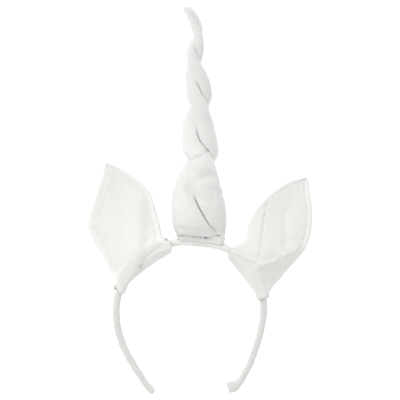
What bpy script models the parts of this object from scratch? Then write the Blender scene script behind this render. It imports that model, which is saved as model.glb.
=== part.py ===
"""Headband with a twisted, stuffed unicorn horn and two cloth ears, lying on its back.

Seen from above (+Z, the front of the headband) the horn points to +Y and the hoop opens to -Y.
The hoop's two ends and the back of the horn rest on the surface at z = 0.
Sizes are in millimetres and become metres when a mesh is made.
"""
import math
from collections import namedtuple

import bmesh
import bpy
from mathutils import Vector

METRES = 0.001
GAP = 0.3
# Moves the middle of the whole object to the origin
SHIFT = Vector((-0.2, 0.2, 0.0))

# Hoop: its centre in plan, its oval section and how far it leans up towards the horn
HOOP_CENTRE = Vector((-8.8, -104.6))
HOOP_HALF_THICK = 3.3
HOOP_HALF_WIDE = 4.6
HOOP_SECTION_POWER = 2.5
HOOP_LEAN = math.tan(math.radians(7.0))
HOOP_END_Y = -179.0
HOOP_END_HEIGHT = 4.34
HOOP_SECTION_SIDES = 12
HOOP_STEP = 4.0

# Angle from the top of the hoop in degrees, to the left; centreline radius; extra cloth on the inside
Hoop = namedtuple("Hoop", "angle radius fold")
HOOP = (
    Hoop(-152.0, 80.4, 4.5),
    Hoop(-149.5, 81.2, 3.6),
    Hoop(-145.0, 79.0, 0.4),
    Hoop(-138.0, 75.4, 0.0),
    Hoop(-122.0, 69.6, 0.0),
    Hoop(-106.0, 67.2, 0.0),
    Hoop(-88.0, 67.8, 0.0),
    Hoop(-60.0, 69.4, 0.0),
    Hoop(-32.0, 68.4, 0.0),
    Hoop(-8.0, 65.8, 0.0),
    Hoop(18.0, 67.0, 0.0),
    Hoop(45.0, 69.0, 0.0),
    Hoop(75.0, 68.6, 0.0),
    Hoop(105.0, 68.6, 0.0),
    Hoop(125.0, 70.0, 0.0),
    Hoop(140.0, 73.8, 0.0),
    Hoop(153.6, 80.4, 0.0),
)

# Horn: one row for each section from the base to the tip. x, y, height: the axis. radius: mean radius.
# lobes: how far two opposite lobes stand out. turn: half turns of the two grooves between them.
# depth: front to back, as a share of the width: the base is drawn together where it is sewn to the hoop.
HORN_SEAT_GAP = 0.4
HORN_CAP_SCALES = (0.08, 0.36, 0.68)
HORN_COLUMNS = 15
HORN_STEPS_PER_ROW = 3
GROOVE_DEPTH = 0.13
GROOVE_LIP = math.radians(7.0)
GROOVE_SLOPE = math.radians(24.0)
Section = namedtuple("Section", "x y height radius lobes turn depth")
HORN = (
    Section(0.8, -35.6, 21.0, 21.4, 0.01, 0.50, 0.36),
    Section(0.9, -32.5, 21.0, 22.2, 0.03, 0.36, 0.56),
    Section(0.3, -24.0, 20.6, 23.0, 0.08, 0.17, 0.85),
    Section(-1.0, -11.5, 20.0, 22.6, 0.12, 0.04, 0.97),
    Section(-2.2, 2.0, 19.4, 20.6, 0.17, -0.06, 1.00),
    Section(-1.8, 14.5, 18.6, 19.0, 0.18, -0.17, 1.00),
    Section(-0.2, 28.0, 17.8, 17.2, 0.18, -0.34, 1.00),
    Section(0.9, 36.0, 17.2, 15.8, 0.18, -0.52, 1.00),
    Section(1.0, 44.0, 16.2, 14.9, 0.18, -0.80, 1.00),
    Section(-0.6, 55.0, 14.9, 13.8, 0.18, -1.00, 1.00),
    Section(-1.6, 72.0, 12.8, 12.2, 0.18, -1.14, 1.00),
    Section(-0.8, 86.0, 11.8, 10.9, 0.18, -1.50, 1.00),
    Section(-0.6, 95.5, 10.8, 10.5, 0.18, -1.84, 1.00),
    Section(-1.4, 105.0, 9.9, 9.9, 0.18, -2.00, 1.00),
    Section(-4.0, 117.0, 8.9, 8.8, 0.18, -2.20, 1.00),
    Section(-5.6, 126.0, 8.4, 7.8, 0.18, -2.50, 1.00),
    Section(-4.4, 137.0, 7.2, 6.7, 0.18, -2.95, 1.00),
    Section(-2.4, 146.0, 6.4, 5.9, 0.18, -3.22, 1.00),
    Section(-1.6, 152.5, 6.0, 5.2, 0.17, -3.50, 1.00),
    Section(-3.2, 161.0, 5.6, 4.9, 0.15, -3.78, 1.00),
    Section(-6.0, 168.5, 5.2, 4.6, 0.12, -3.92, 1.00),
    Section(-9.0, 173.6, 4.8, 4.2, 0.08, -4.02, 1.00),
    Section(-12.4, 176.6, 4.4, 3.3, 0.04, -4.10, 1.00),
    Section(-15.0, 178.0, 4.2, 1.6, 0.00, -4.14, 1.00),
)

# Ears: doubled cloth with a lining panel that leaves a rim of the outer cloth in sight
EAR_THICK = 1.6
LINING_THICK = 1.0
RIM = 4.4
EAR_COLUMNS = 11
EDGE_POWER = 1.8
LINING_OFFSET = EAR_THICK / 2 + LINING_THICK / 2 + GAP + 0.05

# The cloth's mid surface round the hoop: out, up: where it is pulled tight, from the hoop's centreline.
# share, loose_up: where it bulges inwards, as a share of the fold's own distance inside the hoop.
Wrap = namedtuple("Wrap", "out up share loose_up")
WRAP = (
    Wrap(6.2, 1.2, 0.0, 1.2),
    Wrap(5.6, -3.4, 0.0, -3.4),
    Wrap(3.2, -6.2, 0.0, -6.2),
    Wrap(0.0, -6.7, 0.0, -6.7),
    Wrap(-3.8, -5.0, 0.35, -5.6),
    Wrap(-5.3, 0.0, 0.85, -2.8),
    Wrap(-3.9, 4.9, 1.0, -0.4),
)
FOLD_TIGHT_UP = 6.9
FOLD_LOOSE_UP = 2.2
CREST_HALF = 4.2
CREST_UP = 6.9
CREST_FALL = 1.2

# Rows across an ear from the fold inside the hoop to the tip: the ends in plan, then three heights and
# how far the middle of the row bows out of the hoop
Row = namedtuple("Row", "left_x left_y right_x right_y left_z mid_z right_z bow")
LEFT_EAR = (
    Row(-73.5, -84.5, -27.0, -48.0, 20.0, 19.0, 22.0, 2.6),
    Row(-76.9, -78.5, -26.0, -43.5, 18.0, 25.0, 24.0, 0.8),
    Row(-80.0, -70.2, -28.2, -39.2, 16.0, 27.0, 22.0, 0.0),
    Row(-83.2, -62.8, -34.4, -35.8, 14.0, 26.0, 22.0, 0.0),
    Row(-88.3, -52.5, -36.7, -29.3, 11.0, 22.0, 20.0, 0.0),
    Row(-94.8, -42.3, -38.1, -22.3, 9.0, 17.0, 17.0, 0.0),
    Row(-100.4, -32.5, -40.0, -15.3, 8.0, 12.5, 14.5, 0.0),
    Row(-102.9, -23.7, -41.9, -8.8, 7.5, 9.0, 12.0, 0.0),
    Row(-100.9, -12.6, -43.4, -2.3, 7.0, 6.5, 10.0, 0.0),
    Row(-97.2, -1.4, -46.5, 5.6, 6.5, 4.8, 8.0, 0.0),
    Row(-93.9, 8.8, -53.0, 14.0, 6.0, 3.6, 6.5, 0.0),
    Row(-91.1, 18.1, -62.3, 21.1, 5.0, 2.8, 5.0, 0.0),
    Row(-89.0, 26.5, -73.9, 28.8, 3.6, 2.2, 3.6, 0.0),
    Row(-87.7, 33.0, -85.6, 34.1, 2.4, 1.8, 2.4, 0.0),
)
RIGHT_EAR = (
    Row(26.5, -53.0, 55.8, -91.1, 22.0, 19.0, 18.0, 0.4),
    Row(28.8, -47.4, 60.9, -88.4, 24.0, 24.0, 16.0, 0.0),
    Row(34.9, -42.3, 66.0, -80.9, 24.0, 27.0, 14.0, 0.0),
    Row(41.4, -38.6, 73.0, -73.0, 22.0, 28.0, 12.5, 0.0),
    Row(44.0, -33.0, 81.4, -62.8, 19.0, 25.0, 11.5, 0.0),
    Row(45.1, -27.0, 90.7, -53.0, 16.5, 19.5, 11.5, 0.0),
    Row(47.0, -20.0, 97.7, -43.2, 14.0, 14.5, 12.5, 0.0),
    Row(50.7, -13.0, 101.4, -33.0, 12.0, 10.5, 10.5, 0.0),
    Row(56.3, -5.1, 103.1, -20.9, 10.0, 7.5, 9.0, 0.0),
    Row(63.7, 2.8, 103.3, -8.8, 8.5, 5.4, 7.5, 0.0),
    Row(73.0, 10.2, 102.0, 1.4, 7.0, 4.0, 6.5, 0.0),
    Row(82.8, 16.0, 101.1, 9.8, 5.4, 3.0, 5.0, 0.0),
    Row(91.6, 19.2, 100.5, 16.0, 3.8, 2.4, 3.6, 0.0),
    Row(98.6, 20.7, 100.3, 19.8, 2.4, 2.0, 2.4, 0.0),
)
# Rows near the hoop are split finely, because the cloth bends over it there
FINE_ROWS = 4
FINE_STEPS = 3


def smooth(rows, column, place):
    """One column at a place between the rows, on a smooth curve through them."""
    first = min(max(int(place), 0), len(rows) - 2)
    part = place - first
    values = [getattr(rows[min(max(k, 0), len(rows) - 1)], column) for k in range(first - 1, first + 3)]
    before, start, end, after = values
    start_slope = (end - before) / 2
    end_slope = (after - start) / 2
    cubic = 2 * (start - end) + start_slope + end_slope
    square = 3 * (end - start) - 2 * start_slope - end_slope
    return ((cubic * part + square) * part + start_slope) * part + start


def hoop_value(column, angle):
    """A column of the hoop's table at an angle in degrees."""
    last = len(HOOP) - 2
    row = next((k for k in range(last) if angle < HOOP[k + 1].angle), last)
    share = (angle - HOOP[row].angle) / (HOOP[row + 1].angle - HOOP[row].angle)
    return smooth(HOOP, column, row + share)


def outward(angle):
    """Unit vector in plan from the hoop's centre, at an angle in degrees from the top to the left."""
    turn = math.radians(angle)
    return Vector((-math.sin(turn), math.cos(turn)))


def hoop_point(angle, out=0.0, up=0.0):
    """A point near the hoop's centreline: out along its radius, up along its width."""
    plan = HOOP_CENTRE + outward(angle) * (hoop_value("radius", angle) + out)
    height = HOOP_END_HEIGHT + (plan.y - HOOP_END_Y) * HOOP_LEAN
    return Vector((plan.x, plan.y - up * HOOP_LEAN, height + up))


def hoop_angle(plan):
    """The hoop's angle in degrees at a point in plan, and the distance outside its centreline."""
    arm = plan - HOOP_CENTRE
    angle = math.degrees(math.atan2(-arm.x, arm.y))
    return angle, arm.length - hoop_value("radius", angle)


def material(name, colour, roughness):
    """A plain matt cloth."""
    cloth = bpy.data.materials.new(name)
    cloth.use_nodes = True
    shader = cloth.node_tree.nodes["Principled BSDF"]
    shader.inputs["Base Color"].default_value = (*colour, 1.0)
    shader.inputs["Roughness"].default_value = roughness
    shader.inputs["Metallic"].default_value = 0.0
    cloth.diffuse_color = (*colour, 1.0)
    return cloth


def add_object(name, verts, faces, cloth, parts):
    """An object from points in millimetres and the faces between them."""
    mesh = bpy.data.meshes.new(name)
    mesh.from_pydata([(point + SHIFT) * METRES for point in verts], [], faces)
    mesh.materials.append(cloth)
    shape = bmesh.new()
    shape.from_mesh(mesh)
    bmesh.ops.recalc_face_normals(shape, faces=shape.faces)
    shape.to_mesh(mesh)
    shape.free()
    mesh.shade_smooth()
    piece = bpy.data.objects.new(name, mesh)
    parts.objects.link(piece)
    return piece


def loft(name, rings, cloth, parts):
    """A closed body through rings of points, with both ends capped."""
    sides = len(rings[0])
    verts = [point for ring in rings for point in ring]
    faces = []
    for k in range(len(rings) - 1):
        for i in range(sides):
            j = (i + 1) % sides
            faces.append((k * sides + i, k * sides + j, (k + 1) * sides + j, (k + 1) * sides + i))
    faces.append(tuple(range(sides)))
    faces.append(tuple(range(len(verts) - sides, len(verts))))
    return add_object(name, verts, faces, cloth, parts)


def sheet(name, grid, thick, cloth, parts):
    """Cloth of an even thickness on both sides of a grid of points."""
    columns = len(grid[0])
    verts = [point for row in grid for point in row]
    faces = []
    for k in range(len(grid) - 1):
        for i in range(columns - 1):
            corner = k * columns + i
            faces.append((corner, corner + 1, corner + columns + 1, corner + columns))
    piece = add_object(name, verts, faces, cloth, parts)
    shell = piece.modifiers.new("cloth", "SOLIDIFY")
    shell.thickness = thick * METRES
    shell.offset = 0.0
    return piece


def hoop_ring(angle, scale):
    """The hoop's oval section, with its loose cloth on the inner side."""
    fold = hoop_value("fold", angle)
    ring = []
    for i in range(HOOP_SECTION_SIDES):
        turn = 2 * math.pi * (i + 0.5) / HOOP_SECTION_SIDES
        power = 2 / HOOP_SECTION_POWER
        out = math.copysign(abs(math.cos(turn)) ** power, math.cos(turn)) * HOOP_HALF_THICK
        up = math.copysign(abs(math.sin(turn)) ** power, math.sin(turn)) * HOOP_HALF_WIDE
        if out < 0:
            out -= fold * abs(out) / HOOP_HALF_THICK
        ring.append(hoop_point(angle, out * scale, up * scale))
    return ring


def build_hoop(cloth, parts):
    """The padded hoop, rounded at both ends."""
    first, last = HOOP[0].angle, HOOP[-1].angle
    steps = round((last - first) / HOOP_STEP)
    rings = []
    for k in range(steps + 1):
        angle = first + (last - first) * k / steps
        rings.append(hoop_ring(angle, 1.0))
    round_off = ((0.9, 0.9), (1.7, 0.62), (2.0, 0.28))
    for turn, scale in round_off:
        rings.insert(0, hoop_ring(first - turn, scale))
        rings.append(hoop_ring(last + turn, scale))
    return loft("headband", rings, cloth, parts)


def horn_radius(turn, angle, radius, lobes):
    """Radius of the horn's section: two lobes, with a groove at each side that has a steep lip."""
    around = (angle - turn * math.pi) % math.pi
    lobe = 1 - lobes * math.cos(2 * around)
    if around > math.pi / 2:
        groove = math.exp(-(math.pi - around) / GROOVE_LIP)
    else:
        groove = math.exp(-around / GROOVE_SLOPE)
    return radius * (lobe - GROOVE_DEPTH * groove * lobes / 0.18)


def horn_angles():
    """Angles round one lobe, closer together at the groove."""
    return [math.pi * (0.5 - 0.5 * math.cos(math.pi * (k / HORN_COLUMNS) ** 1.12)) for k in range(HORN_COLUMNS)]


def horn_ring(place):
    """One section of the horn, square to its axis and pressed flat where it meets the surface."""
    axis = Vector([smooth(HORN, column, place) for column in ("x", "y", "height")])
    ahead = Vector([smooth(HORN, column, place + 0.05) for column in ("x", "y", "height")])
    behind = Vector([smooth(HORN, column, place - 0.05) for column in ("x", "y", "height")])
    along = (ahead - behind).normalized()
    side = along.cross(Vector((0, 0, 1))).normalized()
    front = side.cross(along)
    radius, lobes, turn, depth = [smooth(HORN, column, place) for column in ("radius", "lobes", "turn", "depth")]
    ring = []
    for half in range(2):
        for step in horn_angles():
            angle = step + (turn + half) * math.pi
            reach = horn_radius(turn, angle, radius, lobes)
            point = axis + side * (reach * math.sin(angle)) + front * (reach * math.cos(angle) * depth)
            point.z = max(point.z, 0.0)
            ring.append(point)
    return ring


def horn_seat(point):
    """A point of the horn's base, moved along Y onto the hoop's outer face."""
    reach = hoop_value("radius", 0.0) + HOOP_HALF_THICK
    angle = -math.degrees(math.asin((point.x - HOOP_CENTRE.x) / reach))
    return Vector((point.x, hoop_point(angle, HOOP_HALF_THICK + HORN_SEAT_GAP).y, point.z))


def build_horn(cloth, parts):
    """The stuffed horn, one solid from its base on the hoop to the curled tip."""
    steps = (len(HORN) - 1) * HORN_STEPS_PER_ROW
    rings = [horn_ring(k / HORN_STEPS_PER_ROW) for k in range(1, steps + 1)]
    base = horn_ring(0)
    middle = sum(base, Vector()) / len(base)
    seat = [[horn_seat(middle + (point - middle) * scale) for point in base] for scale in (*HORN_CAP_SCALES, 1.0)]
    return loft("horn", seat + rings, cloth, parts)


def ear_rows():
    """Places of the rows, finer near the hoop."""
    fine = [k / FINE_STEPS for k in range(FINE_ROWS * FINE_STEPS)]
    return fine + [float(k) for k in range(FINE_ROWS, len(LEFT_EAR))]


def row_ends(rows, place):
    """The two ends of a row in plan."""
    left = Vector((smooth(rows, "left_x", place), smooth(rows, "left_y", place)))
    right = Vector((smooth(rows, "right_x", place), smooth(rows, "right_y", place)))
    return left, right


def ear_columns(rows, place):
    """Shares across a row: the rim's two edges at each end, and even steps between them."""
    left, right = row_ends(rows, place)
    rim = min(RIM / (right - left).length, 0.36)
    inner = [rim + (1 - 2 * rim) * k / (EAR_COLUMNS - 1) for k in range(EAR_COLUMNS)]
    return [0.0, rim / 2, *inner, 1 - rim / 2, 1.0]


def ear_point(rows, place, share):
    """A point of an ear's mid surface, lifted over the hoop where it crosses it."""
    left, right = row_ends(rows, place)
    across = right - left
    away = Vector((-across.y, across.x)).normalized()
    bow = smooth(rows, "bow", place) * 4 * share * (1 - share)
    plan = left + across * share + away * bow
    edge = abs(2 * share - 1) ** EDGE_POWER
    side = "left_z" if share < 0.5 else "right_z"
    height = smooth(rows, "mid_z", place) * (1 - edge) + smooth(rows, side, place) * edge
    angle, out = hoop_angle(plan)
    centre = hoop_point(angle, out).z
    crest = centre + CREST_UP - CREST_FALL * max(abs(out) - CREST_HALF, 0.0)
    return Vector((plan.x, plan.y, max(height, crest)))


def fold_point(rows, share):
    """The fold inside the hoop: tight where it is close to the hoop, lower where it bulges."""
    point = ear_point(rows, 0.0, share)
    angle, out = hoop_angle(point.xy)
    slack = looseness(out)
    up = FOLD_TIGHT_UP * (1 - slack) + FOLD_LOOSE_UP * slack
    return Vector((point.x, point.y, hoop_point(angle, out).z + up))


def looseness(out):
    """0 where the fold lies over the hoop, 1 where it is well inside it."""
    share = min(max((-out - 3.5) / 3.0, 0.0), 1.0)
    return share * share * (3 - 2 * share)


def wrap_point(rows, share, wrap):
    """A point of the cloth that goes from the fold round the back of the hoop."""
    angle, out = hoop_angle(fold_point(rows, share).xy)
    slack = looseness(out)
    loose_out = wrap.out * (1 - wrap.share) + min(out, wrap.out) * wrap.share
    return hoop_point(
        angle,
        wrap.out * (1 - slack) + loose_out * slack,
        wrap.up * (1 - slack) + wrap.loose_up * slack,
    )


def ear_grid(rows):
    """The whole ear: the wrap behind the hoop, the fold, then the blade up to the tip."""
    shares = ear_columns(rows, 0.0)
    grid = [[wrap_point(rows, share, wrap) for share in shares] for wrap in WRAP]
    grid.append([fold_point(rows, share) for share in shares])
    for place in ear_rows()[1:]:
        grid.append([ear_point(rows, place, share) for share in ear_columns(rows, place)])
    return grid


def lining_grid(rows):
    """The lining: the blade's inner columns, moved off the ear along its normals."""
    places = ear_rows()[2:-1]
    blade = [[ear_point(rows, place, share) for share in ear_columns(rows, place)[1:-1]] for place in places]
    last = len(blade) - 1
    grid = []
    for k in range(last + 1):
        row = []
        for i in range(1, len(blade[0]) - 1):
            across = blade[k][i + 1] - blade[k][i - 1]
            along = blade[min(k + 1, last)][i] - blade[max(k - 1, 0)][i]
            row.append(blade[k][i] + across.cross(along).normalized() * LINING_OFFSET)
        grid.append(row)
    return grid


def build_ear(side, rows, cloth, lining_cloth, parts):
    """One ear and its lining."""
    sheet(f"ear_{side}", ear_grid(rows), EAR_THICK, cloth, parts)
    sheet(f"ear_{side}_lining", lining_grid(rows), LINING_THICK, lining_cloth, parts)


for leftover in list(bpy.data.objects):
    bpy.data.objects.remove(leftover, do_unlink=True)
collection = bpy.data.collections.new("unicorn_horn_headband")
bpy.context.scene.collection.children.link(collection)
build_hoop(material("hoop_cloth", (0.80, 0.80, 0.79), 0.75), collection)
build_horn(material("horn_cloth", (0.84, 0.84, 0.83), 0.60), collection)
ear_cloth = material("ear_cloth", (0.86, 0.86, 0.85), 0.70)
ear_lining = material("ear_lining_cloth", (0.88, 0.87, 0.86), 0.65)
build_ear("left", LEFT_EAR, ear_cloth, ear_lining, collection)
build_ear("right", RIGHT_EAR, ear_cloth, ear_lining, collection)
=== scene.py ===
"""The looks of a white cloth headband with a twisted unicorn horn and two ears, lying on its back.

Seen from above, the front of the headband, the horn points to +Y and the hoop opens to -Y.
Lengths are in millimetres, and become metres where a mesh is made.
"""
import math
from collections import namedtuple

import bpy
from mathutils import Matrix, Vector, noise
from mathutils.bvhtree import BVHTree


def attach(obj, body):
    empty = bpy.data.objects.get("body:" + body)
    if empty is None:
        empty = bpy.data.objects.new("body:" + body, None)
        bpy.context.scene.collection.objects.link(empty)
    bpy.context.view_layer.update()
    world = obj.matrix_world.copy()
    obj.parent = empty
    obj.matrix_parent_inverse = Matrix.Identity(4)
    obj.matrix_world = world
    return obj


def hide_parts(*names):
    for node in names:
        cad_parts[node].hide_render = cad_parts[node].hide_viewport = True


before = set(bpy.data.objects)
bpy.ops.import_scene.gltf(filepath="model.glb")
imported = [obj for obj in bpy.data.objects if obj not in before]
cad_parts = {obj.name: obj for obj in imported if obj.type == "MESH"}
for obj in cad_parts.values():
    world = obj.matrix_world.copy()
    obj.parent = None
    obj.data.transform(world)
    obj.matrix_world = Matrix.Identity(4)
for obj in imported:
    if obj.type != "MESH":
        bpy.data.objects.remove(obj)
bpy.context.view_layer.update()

# The covered hoop.
# A thick sprung strip in a close tube of finely ribbed cloth, turned in at both ends.
# It leans up from its ends, which lie on the surface, to the horn. Its legs are darkened with painted shade.
METRES = 0.001
# Brings the middle of the whole over the origin
SHIFT = Vector((-0.2, 0.2, 0.0))
HOOP_CENTRE = Vector((-8.8, -104.6))
HOOP_HALF_THICK = 3.3
HOOP_HALF_WIDE = 4.6
HOOP_SECTION_POWER = 2.5
HOOP_LEAN = math.tan(math.radians(7.0))
HOOP_END_Y = -179.0
HOOP_END_HEIGHT = 4.34
HOOP_SIDES = 36
HOOP_STEP = 0.75
HOOP_END_STEPS = 7
HOOP_END_TURN = 2.0
HOOP_TINT = (0.81, 0.81, 0.795)
# Painted shade on the hoop's legs: how much, and the Y where it starts and where it is full
LEG_PAINTED_SHADE = 0.15
LEG_PAINTED_SHADE_FROM = -42.0
LEG_PAINTED_SHADE_FULL = -75.0
HOOP_TIP_SCALE = 0.12
HOOP_SLACK = 0.10
HOOP_SLACK_ALONG = 0.35
HOOP_SLACK_ROUND = 1.6
RIB_PITCH = 1.1
WORN_SHARE = (0.955, 0.95, 0.935)
WORN_BY_PATCH = 0.7
WORN_BY_SLUB = 0.3
# The colour of painted shade, mixed in as far as a mesh's painted-shade attribute says
PAINTED_SHADE_TINT = (0.16, 0.155, 0.15)
# Scale and detail of a cloth's slubs, its worn patches and its crinkles
CLOTH_NOISES = ((900.0, 3.0), (38.0, 4.0), (160.0, 3.0))
CRINKLE_HEIGHT = 0.35
RELIEF_STRENGTH = 0.5
RELIEF_METRES = 0.00035
ROUGHNESS_SPREAD = 0.1
SHEEN_ROUGHNESS = 0.5
CLOTH_SPECULAR = 0.25
# The centreline: angle in degrees from the top to the left, radius, and how far the turned-in end swells
Hoop = namedtuple("Hoop", "angle radius fold")
HOOP = (
    Hoop(-152.0, 80.4, 4.5),
    Hoop(-149.5, 81.2, 3.6),
    Hoop(-145.0, 79.0, 0.4),
    Hoop(-138.0, 75.4, 0.0),
    Hoop(-122.0, 69.6, 0.0),
    Hoop(-106.0, 67.2, 0.0),
    Hoop(-88.0, 67.8, 0.0),
    Hoop(-60.0, 69.4, 0.0),
    Hoop(-32.0, 68.4, 0.0),
    Hoop(-8.0, 65.8, 0.0),
    Hoop(18.0, 67.0, 0.0),
    Hoop(45.0, 69.0, 0.0),
    Hoop(75.0, 68.6, 0.0),
    Hoop(105.0, 68.6, 0.0),
    Hoop(125.0, 70.0, 0.0),
    Hoop(140.0, 73.8, 0.0),
    Hoop(153.6, 80.4, 0.0),
)


def smooth(rows, column, place):
    """One column at a place between the rows, on a smooth curve through them."""
    first = min(max(int(place), 0), len(rows) - 2)
    part = place - first
    picked = [rows[min(max(k, 0), len(rows) - 1)] for k in range(first - 1, first + 3)]
    before, start, end, after = [getattr(row, column) for row in picked]
    start_slope = (end - before) / 2
    end_slope = (after - start) / 2
    cubic = 2 * (start - end) + start_slope + end_slope
    square = 3 * (end - start) - 2 * start_slope - end_slope
    return ((cubic * part + square) * part + start_slope) * part + start


def ease(low, high, value):
    """0 at low, 1 at high, and a smooth step between."""
    share = min(max((value - low) / (high - low), 0.0), 1.0)
    return share * share * (3 - 2 * share)


def looked_up(rows, column, value):
    """One column of a table where its first column has a value."""
    last = len(rows) - 2
    row = next((k for k in range(last) if value < rows[k + 1][0]), last)
    share = (value - rows[row][0]) / (rows[row + 1][0] - rows[row][0])
    return smooth(rows, column, row + share)


def hoop_value(column, angle):
    """A column of the hoop's table at an angle in degrees from the top, to the left."""
    return looked_up(HOOP, column, angle)


def hoop_point(angle, out, up=0.0):
    """A point near the hoop's centreline: out along its radius, up along its width."""
    turn = math.radians(angle)
    plan = HOOP_CENTRE + Vector((-math.sin(turn), math.cos(turn))) * (hoop_value("radius", angle) + out)
    height = HOOP_END_HEIGHT + (plan.y - HOOP_END_Y) * HOOP_LEAN
    return Vector((plan.x, plan.y - up * HOOP_LEAN, height + up))


def hoop_angle(plan):
    """The hoop's angle in degrees at a point in plan, and the distance outside its centreline."""
    arm = plan - HOOP_CENTRE
    angle = math.degrees(math.atan2(-arm.x, arm.y))
    return angle, arm.length - hoop_value("radius", angle)


class Shade:
    """A socket in a material. Python's arithmetic on it adds Math nodes."""

    def __init__(self, tree, socket=None):
        self.tree = tree
        self.socket = socket

    def node(self, kind, settings, inputs, output=0):
        """Any node: its type, its settings, the values or links of its sockets, and the output used."""
        made = self.tree.nodes.new(kind)
        for name, value in settings.items():
            setattr(made, name, value)
        for name, value in inputs.items():
            if isinstance(value, Shade):
                self.tree.links.new(value.socket, made.inputs[name])
            else:
                made.inputs[name].default_value = value
        return Shade(self.tree, made.outputs[output])

    def math(self, operation, *others):
        """A Math node on this socket and the other values."""
        return self.node("ShaderNodeMath", {"operation": operation}, dict(enumerate((self, *others))))

    def __add__(self, other):
        return self.math("ADD", other)

    def __radd__(self, other):
        return self.math("ADD", other)

    def __mul__(self, other):
        return self.math("MULTIPLY", other)

    def __rmul__(self, other):
        return self.math("MULTIPLY", other)


def tinted(shade, factor, start, end):
    """A colour between two, by a factor."""
    inputs = {"Factor": factor, "A": start, "B": end}
    return shade.node("ShaderNodeMix", {"data_type": "RGBA"}, inputs, output="Result")


def cloth_material(name, tint, roughness, thread, weave_depth, rib_pitch, rib_depth, sheen):
    """Woven white cloth: threads both ways, ribs, slubs, a little greying, and painted shade where its mesh
    marks it, as deep in tight folds.
    """
    cloth = bpy.data.materials.new(name)
    cloth.use_nodes = True
    tree = cloth.node_tree
    shade = Shade(tree)
    place = shade.node("ShaderNodeUVMap", {}, {})
    across = shade.node("ShaderNodeSeparateXYZ", {}, {0: place}, output="X")
    along = shade.node("ShaderNodeSeparateXYZ", {}, {0: place}, output="Y")
    warp = (across * (2 * math.pi / thread)).math("SINE")
    weft = (along * (2 * math.pi / thread)).math("SINE")
    rib = (along * (2 * math.pi / rib_pitch)).math("SINE")
    solid = shade.node("ShaderNodeTexCoord", {}, {}, output="Object")
    slub, patch, crinkle = [
        shade.node("ShaderNodeTexNoise", {}, {"Vector": solid, "Scale": scale, "Detail": detail})
        for scale, detail in CLOTH_NOISES
    ]
    relief = warp * weft * weave_depth + rib * rib_depth + slub * (2 * weave_depth) + crinkle * CRINKLE_HEIGHT
    bump_inputs = {"Height": relief, "Strength": RELIEF_STRENGTH, "Distance": RELIEF_METRES}
    bump = shade.node("ShaderNodeBump", {}, bump_inputs)
    worn = [channel * share for channel, share in zip(tint, WORN_SHARE)]
    # How much painted shade each point takes, from its mesh
    tuck_and_painted_shade = shade.node("ShaderNodeAttribute", {"attribute_name": "tuck_and_painted_shade"}, {}, output="Fac")
    colour = tinted(shade, patch * WORN_BY_PATCH + slub * WORN_BY_SLUB, (*worn, 1.0), (*tint, 1.0))
    colour = tinted(shade, tuck_and_painted_shade, colour, (*PAINTED_SHADE_TINT, 1.0))
    surface = tree.nodes["Principled BSDF"]
    surface.inputs["Sheen Weight"].default_value = sheen
    surface.inputs["Sheen Roughness"].default_value = SHEEN_ROUGHNESS
    surface.inputs["Specular IOR Level"].default_value = CLOTH_SPECULAR
    tree.links.new(colour.socket, surface.inputs["Base Color"])
    tree.links.new((patch * ROUGHNESS_SPREAD + roughness).socket, surface.inputs["Roughness"])
    tree.links.new(bump.socket, surface.inputs["Normal"])
    return cloth


def running_lengths(points):
    """The distance along a line of points, from the first to each."""
    lengths = [0.0]
    for start, end in zip(points, points[1:]):
        lengths.append(lengths[-1] + (end - start).length)
    return lengths


def loft(name, bodies, material, painted_shades=None):
    """Closed bodies, each through rings of points, with a UV map in millimetres round and along each."""
    verts, faces, uvs = [], [], []
    for rings in bodies:
        sides = len(rings[0])
        first = len(verts)
        along = running_lengths([sum(ring, Vector()) / sides for ring in rings])
        around = [running_lengths([*ring, ring[0]]) for ring in rings]
        verts += [(point + SHIFT) * METRES for ring in rings for point in ring]
        for k in range(len(rings) - 1):
            for i in range(sides):
                corners = ((k, i), (k, i + 1), (k + 1, i + 1), (k + 1, i))
                faces.append([first + row * sides + column % sides for row, column in corners])
                uvs += [(around[row][column], along[row]) for row, column in corners]
        faces.append(list(reversed(range(first, first + sides))))
        faces.append(list(range(len(verts) - sides, len(verts))))
        uvs += [(0.0, 0.0)] * (2 * sides)
    mesh = bpy.data.meshes.new(name)
    mesh.from_pydata(verts, [], faces)
    mesh.uv_layers.new(name="cloth").data.foreach_set("uv", [value for uv in uvs for value in uv])
    # Painted shade at each point, which the cloth mixes into its colour
    if painted_shades:
        mesh.attributes.new("tuck_and_painted_shade", "FLOAT", "POINT").data.foreach_set("value", painted_shades)
    mesh.materials.append(material)
    mesh.shade_smooth()
    piece = bpy.data.objects.new(name, mesh)
    bpy.context.scene.collection.objects.link(piece)
    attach(piece, "root")
    return piece


def oval(turn, half_thick, half_wide):
    """How far out and up the hoop's oval section lies at a turn round it."""
    power = 2 / HOOP_SECTION_POWER
    out = math.copysign(abs(math.cos(turn)) ** power, math.cos(turn)) * half_thick
    up = math.copysign(abs(math.sin(turn)) ** power, math.sin(turn)) * half_wide
    return out, up


def hoop_ring(angle, scale):
    """The hoop's oval section, with its turned-in cloth on the inner side."""
    fold = hoop_value("fold", angle)
    ring = []
    for i in range(HOOP_SIDES):
        turn = 2 * math.pi * (i + 0.5) / HOOP_SIDES
        out, up = oval(turn, HOOP_HALF_THICK, HOOP_HALF_WIDE)
        if out < 0:
            out -= fold * abs(out) / HOOP_HALF_THICK
        round_x, round_y = math.cos(turn) * HOOP_SLACK_ROUND, math.sin(turn) * HOOP_SLACK_ROUND
        slack = HOOP_SLACK * noise.noise(Vector((angle * HOOP_SLACK_ALONG, round_x, round_y)))
        swell = scale * (1 + slack)
        ring.append(hoop_point(angle, out * swell, up * swell))
    return ring


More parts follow.
